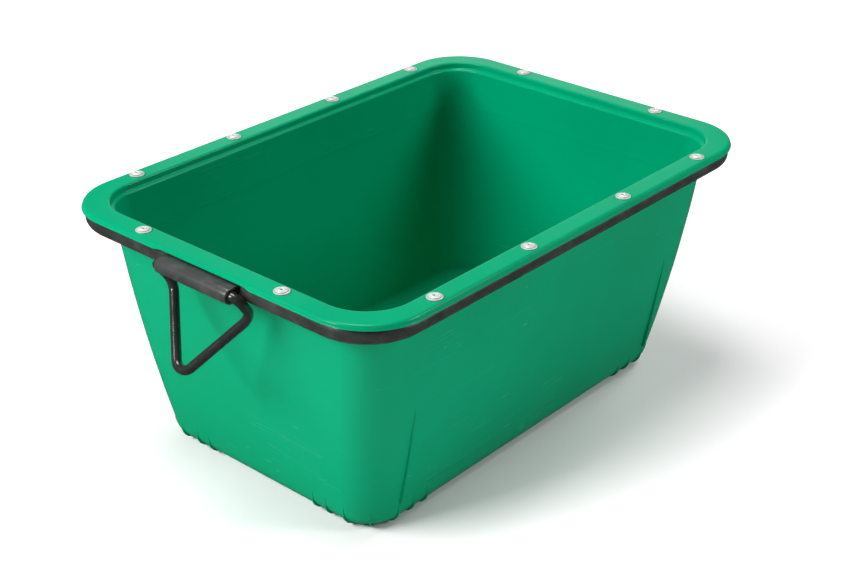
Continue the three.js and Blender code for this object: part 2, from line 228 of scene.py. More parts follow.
class Nodes:
    """A short way to write a procedural material."""

    def __init__(self, name):
        self.material = bpy.data.materials.new(name)
        self.material.use_nodes = True
        self.tree = self.material.node_tree
        self.tree.nodes.clear()
        self.output = self.add("ShaderNodeOutputMaterial")
        self.shader = self.add("ShaderNodeBsdfPrincipled")
        self.link(self.shader.outputs[0], self.output.inputs["Surface"])
        self.place = self.add("ShaderNodeTexCoord").outputs["Object"]

    def add(self, kind, **settings):
        node = self.tree.nodes.new(kind)
        for key, value in settings.items():
            setattr(node, key, value)
        return node

    def link(self, a, b):
        self.tree.links.new(a, b)

    def stretched(self, scale, turn):
        node = self.add("ShaderNodeMapping")
        self.link(self.place, node.inputs["Vector"])
        node.inputs["Scale"].default_value = scale
        node.inputs["Rotation"].default_value = turn
        return node.outputs[0]

    def noise(self, scale, detail=3, roughness=0.55, vector=None):
        node = self.add("ShaderNodeTexNoise")
        self.link(vector or self.place, node.inputs["Vector"])
        node.inputs["Scale"].default_value = scale
        node.inputs["Detail"].default_value = detail
        node.inputs["Roughness"].default_value = roughness
        return node.outputs["Fac"]

    def cells(self, scale):
        """Distance to the nearest of many scattered points."""
        node = self.add("ShaderNodeTexVoronoi")
        self.link(self.place, node.inputs["Vector"])
        node.inputs["Scale"].default_value = scale
        return node.outputs["Distance"]

    def band(self, value, low, high, out_low=0.0, out_high=1.0):
        """A soft step from one output to the other as the value goes from low to high."""
        node = self.add("ShaderNodeMapRange", interpolation_type="SMOOTHSTEP")
        self.link(value, node.inputs["Value"])
        node.inputs["From Min"].default_value = low
        node.inputs["From Max"].default_value = high
        node.inputs["To Min"].default_value = out_low
        node.inputs["To Max"].default_value = out_high
        return node.outputs[0]

    def math(self, kind, a, b=None):
        node = self.add("ShaderNodeMath", operation=kind)
        for socket, value in zip(node.inputs, (a, b)):
            if value is None:
                continue
            if isinstance(value, (int, float)):
                socket.default_value = value
            else:
                self.link(value, socket)
        return node.outputs[0]

    def height(self):
        node = self.add("ShaderNodeSeparateXYZ")
        self.link(self.place, node.inputs[0])
        return node.outputs["Z"]

    def mix(self, factor, a, b):
        node = self.add("ShaderNodeMix", data_type="RGBA")
        self.link(factor, node.inputs["Factor"])
        for socket, value in ((node.inputs[6], a), (node.inputs[7], b)):
            if isinstance(value, tuple):
                socket.default_value = (*value, 1)
            else:
                self.link(value, socket)
        return node.outputs[2]

    def colour(self, value):
        self.link(value, self.shader.inputs["Base Color"])

    def roughness(self, value):
        self.link(value, self.shader.inputs["Roughness"])

    def bump(self, *layers):
        """Each layer is (height, strength, distance in metres)."""
        normal = None
        for height, strength, distance in layers:
            node = self.add("ShaderNodeBump")
            node.inputs["Strength"].default_value = strength
            node.inputs["Distance"].default_value = distance
            self.link(height, node.inputs["Height"])
            if normal is not None:
                self.link(normal, node.inputs["Normal"])
            normal = node.outputs[0]
        self.link(normal, self.shader.inputs["Normal"])

    def set(self, **sockets):
        for name, value in sockets.items():
            self.shader.inputs[name.replace("_", " ")].default_value = value


def scratches(n, scale, turn, thin, patch_scale):
    """Sparse hairlines along the walls: level lines of a drawn-out noise, kept in a few patches."""
    along = scale * 0.03
    vector = n.stretched((along, along, scale), turn)
    level = n.math("ABSOLUTE", n.math("SUBTRACT", n.noise(1.0, 2, 0.5, vector), 0.5))
    line = n.band(level, 0.0, thin, 1.0, 0.0)
    patch = n.band(n.noise(patch_scale, 3), 0.56, 0.64)
    return n.math("MULTIPLY", line, patch)


# ---------------------------------------------------------------- materials

GREEN_DEEP = (0.0, 0.268, 0.124)
GREEN_BRIGHT = (0.0, 0.292, 0.138)
GREEN_SPECKLE = (0.0, 0.32, 0.16)
GREEN_SCUFFED = (0.05, 0.34, 0.22)
GREEN_NICKED = (0.20, 0.42, 0.31)
GREEN_DARK_LOW = (0.06, 0.19, 0.12)
DUST = (0.20, 0.19, 0.17)
RUBBED_STEEL = (0.24, 0.23, 0.21)
RUST = (0.26, 0.075, 0.022)


def plastic_material():
    """Glossy moulded polyethylene: soft mottling, fine grain, hairline scuffs and a few pale nicks."""
    n = Nodes("tub_plastic")
    cloud = n.band(n.noise(3.2, 4, 0.6), 0.3, 0.7)
    base = n.mix(cloud, GREEN_DEEP, GREEN_BRIGHT)
    speckle = n.band(n.noise(420, 2, 0.7), 0.35, 0.7)
    base = n.mix(n.math("MULTIPLY", speckle, 0.10), base, GREEN_SPECKLE)
    level_hair = scratches(n, 30, (0.16, 0.10, 0), 0.004, 6.0)
    slanted_hair = scratches(n, 42, (-0.22, 0.14, 0.3), 0.003, 9.0)
    hair = n.math("ADD", level_hair, slanted_hair)
    base = n.mix(n.math("MULTIPLY", hair, 0.10), base, GREEN_SCUFFED)
    nick = n.band(n.cells(17), 0.0, 0.034, 1.0, 0.0)
    rare = n.band(n.noise(9, 1), 0.60, 0.64)
    nick = n.math("MULTIPLY", nick, rare)
    base = n.mix(n.math("MULTIPLY", nick, 0.6), base, GREEN_NICKED)
    # the colour turns darker and greyer towards the bottom, over the lowest 60 mm, more where the cloud is
    # high
    greying = n.band(n.height(), 0.0, 0.06, 0.10, 0.0)
    base = n.mix(n.math("MULTIPLY", greying, cloud), base, GREEN_DARK_LOW)
    n.colour(base)
    handled = n.band(n.noise(14, 5, 0.65), 0.3, 0.75, 0.19, 0.27)
    n.roughness(n.math("ADD", handled, n.math("MULTIPLY", hair, 0.2)))
    swell = (n.noise(9, 3, 0.5), 0.25, 1.2 * MM)
    grain = (n.noise(900, 2, 0.6), 0.16, 0.06 * MM)
    n.bump(swell, grain, (hair, -0.2, 0.1 * MM))
    n.set(IOR=1.5, Specular_IOR_Level=0.16)
    return n.material


def paint_material(name, low, high, rough, dust_share):
    """Black-grey brushed-on paint over steel: orange peel, dust, rubbed spots and specks of rust."""
    n = Nodes(name)
    cloud = n.band(n.noise(24, 4, 0.6), 0.3, 0.7)
    base = n.mix(cloud, low, high)
    greying = n.math("MULTIPLY", n.band(n.noise(60, 5, 0.7), 0.45, 0.8), dust_share)
    base = n.mix(greying, base, DUST)
    fine_rub = n.band(n.noise(130, 4, 0.7), 0.66, 0.74)
    rubbed = n.math("MULTIPLY", fine_rub, n.band(n.noise(17, 2), 0.50, 0.62))
    base = n.mix(n.math("MULTIPLY", rubbed, 0.55), base, RUBBED_STEEL)
    speck = n.band(n.cells(95), 0.0, 0.12, 1.0, 0.0)
    rust = n.math("MULTIPLY", speck, n.band(n.noise(13, 2), 0.60, 0.66))
    base = n.mix(n.math("MULTIPLY", rust, 0.85), base, RUST)
    n.colour(base)
    uneven = n.band(n.noise(70, 4), 0.3, 0.75, rough, rough + 0.14)
    n.roughness(n.math("ADD", uneven, n.math("MULTIPLY", greying, 0.5)))
    orange_peel = (n.noise(340, 3, 0.6), 0.35, 0.12 * MM)
    brush = (n.noise(45, 3), 0.25, 0.4 * MM)
    n.bump(orange_peel, brush, (rubbed, -0.4, 0.1 * MM))
    n.set(IOR=1.5, Specular_IOR_Level=0.5, Coat_Weight=0.35, Coat_Roughness=0.14)
    return n.material


def metal_material(name, low, high, rough, grain):
    """Bare bright metal with a fine grain and dull patches."""
    n = Nodes(name)
    base = n.mix(n.band(n.noise(180, 4, 0.65), 0.3, 0.7), low, high)
    dull = n.band(n.noise(420, 3, 0.7), 0.5, 0.75)
    base = n.mix(n.math("MULTIPLY", dull, 0.35), base, tuple(0.55 * c for c in low))
    n.colour(base)
    n.roughness(n.band(n.noise(260, 4, 0.7), 0.25, 0.8, rough, rough + 0.22))
    n.bump((n.noise(grain, 3, 0.7), 0.3, 0.08 * MM), (n.noise(220, 2), 0.3, 0.16 * MM))
    n.set(Metallic=0.45, IOR=1.45, Specular_IOR_Level=0.5)
    return n.material


def weld_material():
    """Dark, rough painted-over weld."""
    n = Nodes("weld_metal")
    base = n.mix(n.band(n.noise(90, 4), 0.35, 0.7), (0.022, 0.023, 0.022), (0.055, 0.052, 0.047))
    n.colour(base)
    n.roughness(n.band(n.noise(160, 3), 0.3, 0.8, 0.4, 0.6))
    n.bump((n.noise(260, 3, 0.6), 0.5, 0.4 * MM))
    n.set(IOR=1.5)
    return n.material


PLASTIC = plastic_material()
TUBE_PAINT = paint_material("frame_paint", (0.020, 0.022, 0.020), (0.036, 0.039, 0.036), 0.30, 0.20)
SLEEVE_PAINT = paint_material("sleeve_paint", (0.026, 0.029, 0.028), (0.042, 0.046, 0.045), 0.34, 0.22)
LOOP_PAINT = paint_material("loop_paint", (0.016, 0.018, 0.017), (0.022, 0.024, 0.022), 0.14, 0.05)
ALUMINIUM = metal_material("rivet_aluminium", (0.60, 0.62, 0.60), (0.74, 0.75, 0.73), 0.46, 1500)
ZINC = metal_material("washer_steel", (0.50, 0.54, 0.51), (0.66, 0.69, 0.66), 0.44, 1200)
MANDREL = metal_material("mandrel_steel", (0.20, 0.20, 0.20), (0.36, 0.36, 0.35), 0.38, 900)
WELD = weld_material()


# ---------------------------------------------------------------- tub shell

# set points along a long side, as shares of the half of it that is straight
SIDE_SHARES = [i / 10 for i in range(-9, 10)]
# set points along each half of an end's straight side, so that the notch has its own corners
NOTCH_MARKS = (
    30 * MM,
    60 * MM,
    NOTCH_HALF_TOP,
    NOTCH_SHOULDER,
    (NOTCH_SHOULDER + NOTCH_HALF_BOTTOM) / 2,
    NOTCH_HALF_BOTTOM,
)


def end_marks(reach):
    """Points along an end's straight side: the notch's marks, then evenly to the corner arcs."""
    outer = [lerp(NOTCH_HALF_BOTTOM, reach, share) for share in (0.33, 0.67)]
    half = list(NOTCH_MARKS) + outer
    return [-x for x in reversed(half)] + [0.0] + half


def loop_of(half_x, half_y, radius, z):
    """Rounded rectangle, anticlockwise from above, with set points along every straight side."""
    points = []
    corners = ((1, -1, -90), (1, 1, 0), (-1, 1, 90), (-1, -1, 180))
    for index, (side_x, side_y, start) in enumerate(corners):
        for angle in arc(start, start + 90, CORNER_STEPS):
            points.append(Vector((
                side_x * (half_x - radius) + radius * math.cos(angle),
                side_y * (half_y - radius) + radius * math.sin(angle),
                z,
            )))
        if index % 2 == 0:
            reach = half_y - radius
            for share in SIDE_SHARES:
                points.append(Vector((side_x * half_x, side_x * share * reach, z)))
        else:
            for x in end_marks(half_x - radius):
                points.append(Vector((-side_y * x, side_y * half_y, z)))
    return points


def wall_at(z):
    """Half width, half length and corner radius of the tub's outside at a height."""
    t = (WALL_TOP_Z - z) / (WALL_TOP_Z - BASE_ROUNDING)
    curve = max(t, 0) ** 2
    return (
        WALL_TOP_HALF_X - DRAFT_X[0] * t - DRAFT_X[1] * curve,
        WALL_TOP_HALF_Y - DRAFT_Y[0] * t - DRAFT_Y[1] * curve,
        lerp(WALL_CORNER_TOP, WALL_CORNER_BASE, t),
    )


def wall_loop(z, inset):
    half_x, half_y, corner = wall_at(z)
    return loop_of(half_x - inset, half_y - inset, corner - inset, z)


def base_loops(inset, floor_z):
    """The rounding between floor and walls, on the outside or, inset, on the inside."""
    half_x, half_y, corner = wall_at(BASE_ROUNDING)
    radius = BASE_ROUNDING - inset
    loops = []
    for angle in arc(0, 90, 10)[:-1]:
        pulled = inset + radius * (1 - math.sin(angle))
        z = floor_z + (BASE_ROUNDING - floor_z) * (1 - math.cos(angle))
        loops.append(loop_of(half_x - pulled, half_y - pulled, corner - pulled, z))
    return loops


def shrunk(loop, share):
    """The same loop drawn in toward the middle, for the flat floor."""
    return [Vector((p.x * share, p.y * share, p.z)) for p in loop]


def notch_limit(point):
    """How deep the lip may hang at a point: less over each sleeve."""
    if abs(point.y) < RIM_HALF_Y - 20 * MM:
        return NO_NOTCH
    x = abs(point.x)
    if x <= NOTCH_HALF_TOP:
        return NOTCH_DEPTH
    if x <= NOTCH_SHOULDER:
        share = (x - NOTCH_HALF_TOP) / (NOTCH_SHOULDER - NOTCH_HALF_TOP)
        return lerp(NOTCH_DEPTH, NOTCH_SHOULDER_DEPTH, share)
    if x < NOTCH_HALF_BOTTOM:
        share = (x - NOTCH_SHOULDER) / (NOTCH_HALF_BOTTOM - NOTCH_SHOULDER)
        return lerp(NOTCH_SHOULDER_DEPTH, LIP_DEPTH, share)
    return NO_NOTCH


def inset_at(profile, depth):
    """Inset of a profile of (inset, depth) points, given from shallow to deep."""
    for (inset_a, depth_a), (inset_b, depth_b) in zip(profile, profile[1:]):
        if depth_a <= depth <= depth_b:
            return lerp(inset_a, inset_b, (depth - depth_a) / max(depth_b - depth_a, 1e-9))
    return profile[0][0]


def lip_profiles():
    """The lip's outer face from the flat top down to its foot, and its inner face.

    Each is a list of (inset from the rim's outline, depth under its top).
    """
    outer = []
    for angle in arc(90, 0, 8):
        outer.append(((6.6 - 5.2 * math.cos(angle)) * MM, (5.6 - 5.6 * math.sin(angle)) * MM))
    outer += [(1.25 * MM, 7.2 * MM), (1.0 * MM, 8.2 * MM), (0.45 * MM, 9.1 * MM)]
    outer += [(0.08 * MM, 9.9 * MM), (0.0, 10.7 * MM), (0.45 * MM, 11.55 * MM), (1.3 * MM, LIP_DEPTH)]
    inner = [(5.6 * MM, FLANGE_THICKNESS), (4.8 * MM, 5.5 * MM), (4.6 * MM, 6.4 * MM)]
    inner += [(4.4 * MM, 11.1 * MM), (4.1 * MM, 11.8 * MM), (3.4 * MM, LIP_DEPTH)]
    return outer, inner


def lip_loop(profile, inset, depth):
    """One loop of the lip: shorter along the ends than along the sides, and cut where the notch is."""
    points = loop_of(RIM_HALF_X - inset, RIM_HALF_Y - inset, RIM_CORNER - inset, RIM_Z - depth)
    below_flange = max(depth - FLANGE_THICKNESS, 0)
    for point in points:
        past = (abs(point.y) - (RIM_HALF_Y - RIM_CORNER)) / RIM_CORNER
        share = 1 - (1 - min(max(past, 0), 1)) ** 2
        point.z += below_flange * (1 - END_LIP_SHARE) * share
        limit = notch_limit(point)
        if RIM_Z - point.z > limit:
            cut = inset_at(profile, FLANGE_THICKNESS + (limit - FLANGE_THICKNESS) / END_LIP_SHARE)
            point.y = math.copysign(RIM_HALF_Y - cut, point.y)
            point.z = RIM_Z - limit
    return points


def opening_loop(inset, depth):
    """A loop round the opening, inset from its edge and so deep under the rim's top."""
    return loop_of(OPENING_HALF_X - inset, OPENING_HALF_Y - inset, OPENING_CORNER - inset, RIM_Z - depth)


def wall_heights():
    return [lerp(BASE_ROUNDING, WALL_TOP_Z, i / 16) for i in range(17)]


def outside_loops():
    """The tub's outside: up from the middle of the base to the underside of the flange."""
    rounding = base_loops(0, 0)
    loops = [shrunk(rounding[0], 0.5), shrunk(rounding[0], 0.97), *rounding]
    loops += [wall_loop(z, 0) for z in wall_heights()]
    loops += [wall_loop(RIM_Z - 20 * MM, 0)]
    under_flange = ((0.6, 12), (0.2, 7.5), (-0.6, 5.6), (-2, 5), (-4, 5))
    loops += [opening_loop(inset * MM, depth * MM) for inset, depth in under_flange]
    return loops


def rim_loops():
    """Down the lip's inner face, up its outer face and over the rim's top to the band inside."""
    outer_lip, inner_lip = lip_profiles()
    loops = [lip_loop(inner_lip, inset, depth) for inset, depth in inner_lip]
    loops += [lip_loop(outer_lip, inset, depth) for inset, depth in reversed(outer_lip)]
    loops += [lip_loop(outer_lip, 7.6 * MM, 0), opening_loop(-1.2 * MM, 0)]
    for angle in arc(0, 80, 7):
        loops.append(opening_loop(3.9 * MM * math.sin(angle), 3.7 * MM * (1 - math.cos(angle))))
    band = ((4.3, 6.5), (4.6, 9.8), (4.9, 10.8))
    loops += [opening_loop(inset * MM, depth * MM) for inset, depth in band]
    return loops


def inside_loops():
    """The tub's inside: the small ledge, the wall with its mould line, and down to the floor."""
    ledge = ((12.6, 2.6), (13.6, 3.9), (14.8, 4.7), (17, 5))
    loops = [wall_loop(RIM_Z - depth * MM, inset * MM) for depth, inset in ledge]
    stops = [(z, 0) for z in wall_heights() if abs(z - MOULD_LINE_Z) > 6 * MM]
    for up, raised in ((1.6, 0), (0.5, MOULD_LINE_HEIGHT), (-0.5, MOULD_LINE_HEIGHT), (-1.6, 0)):
        stops.append((MOULD_LINE_Z + up * MM, raised))
    loops += [wall_loop(z, WALL_THICKNESS + raised) for z, raised in sorted(stops, reverse=True)]
    rounding = list(reversed(base_loops(WALL_THICKNESS, BASE_THICKNESS)))
    loops += [*rounding, shrunk(rounding[-1], 0.97), shrunk(rounding[-1], 0.5)]
    return loops


def make_wavy(piece):
    """Moulded walls are never quite flat: a slow swell of a few tenths of a millimetre."""
    mesh = piece.data
    normals = [vertex.normal.copy() for vertex in mesh.vertices]
    for vertex, normal in zip(mesh.vertices, normals):
        below_rim = max(0.0, (WALL_TOP_Z - vertex.co.z) / SWELL_FADE_TOP)
        above_base = max(0.0, (vertex.co.z - SWELL_START_Z) / SWELL_FADE_BASE)
        room = min(1.0, below_rim, above_base)
        if room > 0:
            # both faces of the wall share one swell, so the wall keeps its thickness
            out = Vector((vertex.co.x, vertex.co.y, 0)).normalized()
            sign = 1 if normal.dot(out) > 0 else -1
            slow = noise.noise(vertex.co * 5.5) * SLOW_SWELL
            quick = noise.noise(vertex.co * 13) * QUICK_SWELL
            vertex.co += normal * sign * (slow + quick) * room


def build_shell():
    bm = bmesh.new()
    skin(bm, outside_loops() + rim_loops() + inside_loops(), False, capped=True)
    piece = new_piece("tub_moulding", bm, "tub", PLASTIC, sharp=48)
    make_wavy(piece)
    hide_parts("tub_shell")
    weighted(piece)


# ---------------------------------------------------------------- ribs and fins

def rib_section(height):
    """Half-round nosed section of a rib: (along the wall, out from it)."""
    half = RIB_THICKNESS / 2
    nose = min(half, height)
    section = [(-half - 0.5 * MM, -1.5 * MM), (half + 0.5 * MM, -1.5 * MM)]
    for angle in arc(0, 180, 8):
        section.append((half * math.cos(angle), height - nose + nose * math.sin(angle)))
    return section


def rib_loop(side, y, z, share):
    """The rib's section at a height, standing out from the wall by a share of its full height."""
    face = wall_at(z)[0]
    section = rib_section(max(RIB_HEIGHT * share, 0.05 * MM))
    return [Vector((side * (face + out), y + side * along, z)) for along, out in section]


def rib_loops(side, y):
    """A rib that grows out of the wall from its top, with a rounded foot."""
    loops = []
    for i in range(RIB_STEPS + 1):
        down = i / RIB_STEPS
        loops.append(rib_loop(side, y, lerp(RIB_TOP_Z, RIB_FOOT_Z, down), down ** 0.45))
    for drop, share in ((1.2, 0.92), (2.2, 0.7), (2.8, 0.3), (3.0, 0.02)):
        loops.append(rib_loop(side, y, RIB_FOOT_Z - drop * MM, share))
    return loops


def build_ribs():
    bm = bmesh.new()
    for side in (1, -1):
        for y in (-RIB_Y, RIB_Y):
            skin(bm, rib_loops(side, y), False, capped=True)
    weighted(new_piece("stacking_ribs", bm, "tub", PLASTIC, sharp=60))


def fin_outline():
    """Closed outline of a fin as (out from the wall's face, up): out and up along the fin's own
    rounding, then back down inside the tub's."""
    outline = [(-BASE_ROUNDING - 2 * MM, 1.5 * MM), (-BASE_ROUNDING - 2 * MM, 0), (-FIN_ROUNDING, 0)]
    for angle in arc(0, 90, 9)[1:]:
        outline.append((FIN_ROUNDING * (math.sin(angle) - 1), FIN_ROUNDING * (1 - math.cos(angle))))
    outline += [(0.6 * MM, 38 * MM), (1.0 * MM, 44 * MM), (-1.5 * MM, 50 * MM)]
    inner = BASE_ROUNDING - 2.5 * MM
    for angle in arc(90, 10, 8):
        outline.append((inner * (math.sin(angle) - 1) - 2.5 * MM, BASE_ROUNDING - inner * math.cos(angle)))
    return outline


def fin_loop(place, across, pull):
    """The fin's outline at a distance across it, drawn in toward the fin's middle by its bevel."""
    middle = Vector((-20 * MM, 0, 22 * MM))
    loop = []
    for out, up in fin_outline():
        point = Vector((out, 0, up))
        toward = (middle - point).normalized() * pull
        if up < 0.1 * MM:
            toward.z = max(toward.z, 0)
        loop.append(place @ Vector((point.x + toward.x, across, point.z + toward.z)))
    return loop


def add_fin(bm, x, y, turn):
    """A fin square to the wall at a place on it, both faces rounded over at their edges."""
    place = Matrix.Translation((x, y, 0)) @ Matrix.Rotation(turn, 4, "Z")
    half = FIN_THICKNESS / 2
    rounded = ((0, FIN_BEVEL), (FIN_BEVEL * 0.35, FIN_BEVEL * 0.3), (FIN_BEVEL, 0))
    loops = [fin_loop(place, -half + back, pull) for back, pull in rounded]
    loops += [fin_loop(place, half - back, pull) for back, pull in reversed(rounded)]
    skin(bm, loops, False, capped=True)


def corner_pull(along, half_along, corner):
    """How far a rounded corner has drawn the wall in at a distance along its side."""
    past = max(0, along - (half_along - corner))
    return corner - math.sqrt(corner ** 2 - past ** 2)


def build_fins():
    half_x, half_y, corner = wall_at(BASE_ROUNDING)
    bm = bmesh.new()
    for side_x in (1, -1):
        for side_y in (1, -1):
            for x in FINS_ON_ENDS:
                y = half_y - corner_pull(x, half_x, corner)
                add_fin(bm, side_x * x, side_y * y, side_y * math.pi / 2)
            for y in FINS_ON_SIDES:
                x = half_x - corner_pull(y, half_y, corner)
                add_fin(bm, side_x * x, side_y * y, 0 if side_x > 0 else math.pi)
            reach = corner * math.sqrt(0.5)
            add_fin(
                bm,
                side_x * (half_x - corner + reach),
                side_y * (half_y - corner + reach),
                math.atan2(side_y, side_x),
            )
    weighted(new_piece("corner_fins", bm, "tub", PLASTIC, sharp=50))


# ---------------------------------------------------------------- steel tube and sleeves

def build_tube():
    bm = bmesh.new()
    loops = []
    for i in range(TUBE_SIDES):
        angle = 2 * math.pi * i / TUBE_SIDES
        out = TUBE_RADIUS * math.cos(angle)
        loops.append(loop_of(
            TUBE_HALF_X + out,
            TUBE_HALF_Y + out,
            TUBE_CORNER + out,
            TUBE_Z + TUBE_RADIUS * math.sin(angle),
        ))
    skin(bm, loops, True)
    piece = new_piece("rim_tube", bm, "tub", TUBE_PAINT)
    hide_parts("rim_frame")


def sleeve_section():
    """Rolled plate seen along its pin, as (toward the tub, up): flat leg, then the curl."""
    outer = SLEEVE_INNER + SLEEVE_PLATE
    leg = abs(PIN["front_loop"].y) - abs(sleeve_high.y)
    edge = SLEEVE_EDGE
    end = math.radians(SLEEVE_CURL_END)
    inside_curl = arc(90, SLEEVE_CURL_END, 34)
    outside_curl = arc(SLEEVE_CURL_END, 90, 40)
    section = [(leg, SLEEVE_INNER + edge), (leg - edge * 0.3, SLEEVE_INNER + edge * 0.3)]
    section += [(leg - edge, SLEEVE_INNER), (leg * 0.5, SLEEVE_INNER)]
    section += [(SLEEVE_INNER * math.cos(a), SLEEVE_INNER * math.sin(a)) for a in inside_curl]
    for radius in (SLEEVE_INNER + edge, outer - edge):
        section.append((radius * math.cos(end + 0.05), radius * math.sin(end + 0.05)))
    section += [(outer * math.cos(a), outer * math.sin(a)) for a in outside_curl]
    section += [(leg * 0.5, outer), (leg - edge, outer), (leg - edge * 0.3, outer - edge * 0.3)]
    section += [(leg, outer - edge)]
    return section


def drawn_in(u, v, pull):
    """A point of the sleeve's section, moved toward the middle of the plate's thickness."""
    middle = SLEEVE_INNER + SLEEVE_PLATE / 2
    point = Vector((u, v))
    on_leg = u > 0 and v > 0
    core = Vector((u, middle)) if on_leg else point.normalized() * middle
    return point + (core - point).normalized() * pull


def build_sleeve(end, body):
    """The curled plate, its cut ends slightly rounded over."""
    pin = PIN[body]
    way = 1 if end == "front" else -1
    edge = 0.8 * MM
    # how far back from a cut end each section stands, and how much it is drawn in there
    rounded = ((0, edge), (edge * 0.3, edge * 0.3), (edge, 0), (26 * MM, 0))
    stations = [(SLEEVE_HALF_LENGTH - back, pull) for back, pull in rounded]
    stations = [(-along, pull) for along, pull in stations] + list(reversed(stations))
    loops = []
    for along, pull in stations:
        section = [drawn_in(u, v, pull) for u, v in sleeve_section()]
        loops.append([Vector((way * along, pin.y + way * p.x, pin.z + p.y)) for p in section])
    bm = bmesh.new()
    skin(bm, loops, False, capped=True)
    piece = new_piece(f"sleeve_{end}", bm, "tub", SLEEVE_PAINT, sharp=50)
    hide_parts(f"handle_sleeve_{end}")


def weld_ring(pin, way, along, radius):
    """One ring of a weld bead, a little flatter than it is wide."""
    ring = []
    for k in range(WELD_SIDES):
        angle = 2 * math.pi * k / WELD_SIDES
        ring.append(Vector((
            along,
            pin.y + way * (WELD_IN + radius * math.cos(angle)),
            pin.z + WELD_UP + 0.9 * radius * math.sin(angle),
        )))
    return ring


def build_weld(end, body):
    """Beads under the sleeve's leg where it meets the tube, in overlapping ripples."""
    pin = PIN[body]
    way = 1 if end == "front" else -1
    bm = bmesh.new()
    for low, high in WELD_RUNS:
        length = (high - low) * SLEEVE_HALF_LENGTH
        steps = int(length / (WELD_PITCH / 4))
        loops = []
        for i in range(steps + 1):
            share = i / steps
            taper = max(min(1, share * 14, (1 - share) * 14), 0.02)
            ripple = 1 + 0.13 * abs(math.sin(math.pi * share * length / WELD_PITCH))
            radius = WELD_RADIUS * math.sqrt(taper) * ripple
            along = low * SLEEVE_HALF_LENGTH + length * share
            loops.append(weld_ring(pin, way, along, radius))
        skin(bm, loops, False, capped=True)
    new_piece(f"sleeve_weld_{end}", bm, "tub", WELD)


# ---------------------------------------------------------------- lifting loops

def bent_centre_line(corners):
    """Closed centre line through (corner, bend radius, steps), each corner turned into an arc."""
    points = []
    count = len(corners)
    for i, (at, bend, steps) in enumerate(corners):
        before = (corners[i - 1][0] - at).normalized()
        after = (corners[(i + 1) % count][0] - at).normalized()
        opening = before.angle(after)
        setback = bend / math.tan(opening / 2)
        centre = at + (before + after).normalized() * bend / math.sin(opening / 2)
        start = at + before * setback - centre
        stop = at + after * setback - centre
        axis = start.cross(stop).normalized()
        for k in range(steps + 1):
            turn = Matrix.Rotation(start.angle(stop) * k / steps, 3, axis)
            points.append(turn @ start + centre)
    return points


def with_middles(points, longest):
    """Adds points along the straights, so that the bar is divided evenly."""
    out = []
    for here, there in zip(points, points[1:] + points[:1]):
        pieces = max(1, math.ceil((there - here).length / longest))
        out += [here.lerp(there, i / pieces) for i in range(pieces)]
    return out


def rod_loops(points):
    """Rings round a closed line, carried along without twisting, the last twist shared out."""
    count = len(points)
    tangents = []
    for i in range(count):
        ahead = (points[(i + 1) % count] - points[i]).normalized()
        behind = (points[i] - points[i - 1]).normalized()
        tangents.append((ahead + behind).normalized())
    normals = [Vector((0, 0, 1)).cross(tangents[0]).normalized()]
    for i in range(1, count):
        normals.append(tangents[i - 1].rotation_difference(tangents[i]) @ normals[-1])
    last = tangents[-1].rotation_difference(tangents[0]) @ normals[-1]
    twist = last.angle(normals[0]) * math.copysign(1, last.cross(normals[0]).dot(tangents[0]))
    loops = []
    for i, (point, tangent) in enumerate(zip(points, tangents)):
        normal = Matrix.Rotation(twist * i / count, 3, tangent) @ normals[i]
        side = tangent.cross(normal)
        ring = []
        for k in range(ROD_SIDES):
            angle = 2 * math.pi * k / ROD_SIDES
            ring.append(point + (normal * math.cos(angle) + side * math.sin(angle)) * ROD_RADIUS)
        loops.append(ring)
    return loops


def build_loop(end, body):
    """The bent bar, at the front end as measured and turned about for the back end."""
    elbow_left = Vector((-LOOP_ELBOW.x, LOOP_ELBOW.y, LOOP_ELBOW.z))
    line = with_middles(bent_centre_line([
        (Vector((LOOP_PIN_HALF, 0, 0)), PIN_BEND, BEND_STEPS),
        (Vector((-LOOP_PIN_HALF, 0, 0)), PIN_BEND, BEND_STEPS),
        (elbow_left, ELBOW_BEND, BEND_STEPS),
        (LOOP_TIP, TIP_BEND, TIP_STEPS),
        (LOOP_ELBOW, ELBOW_BEND, BEND_STEPS),
    ]), ROD_STEP)
    turn = Matrix.Rotation(0 if end == "front" else math.pi, 3, "Z")
    bm = bmesh.new()
    rings = rod_loops(line)
    skin(bm, [[PIN[body] + turn @ point for point in ring] for ring in rings], True)
    piece = new_piece(f"lifting_loop_{end}", bm, body, LOOP_PAINT)
    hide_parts(f"handle_{end}")


# ---------------------------------------------------------------- washers, rivets, mandrels

# the profiles' points are (radius, height over the rim) in millimetres
ROUNDING_STEPS = 5


def smooth_profile(profile, rounds):
    """Rounds each inner corner of a profile by its own radius."""
    out = [profile[0]]
    for before, at, after, radius in zip(profile, profile[1:], profile[2:], rounds):
        a = Vector(before)
        b = Vector(at)
        c = Vector(after)
        to_a = a - b
        to_c = c - b
        reach = min(radius, to_a.length * 0.45, to_c.length * 0.45)
        start = b + to_a.normalized() * reach
        stop = b + to_c.normalized() * reach
        for i in range(ROUNDING_STEPS + 1):
            t = i / ROUNDING_STEPS
            out.append(tuple(start.lerp(b, t).lerp(b.lerp(stop, t), t)))
    out.append(profile[-1])
    return out


def washer_profile():
    """Flat disc, its top dished a little toward the hole."""
    points = [(4.2, 0.3), (12.8, 0.3), (12.8, 1.9), (11.4, 1.9), (9.4, 1.7), (4.2, 1.7), (4.2, 0.3)]
    rounds = (0.2, 0.6, 0.5, 0.5, 0.2)
    return [(r * MM, h * MM) for r, h in smooth_profile(points, rounds)]


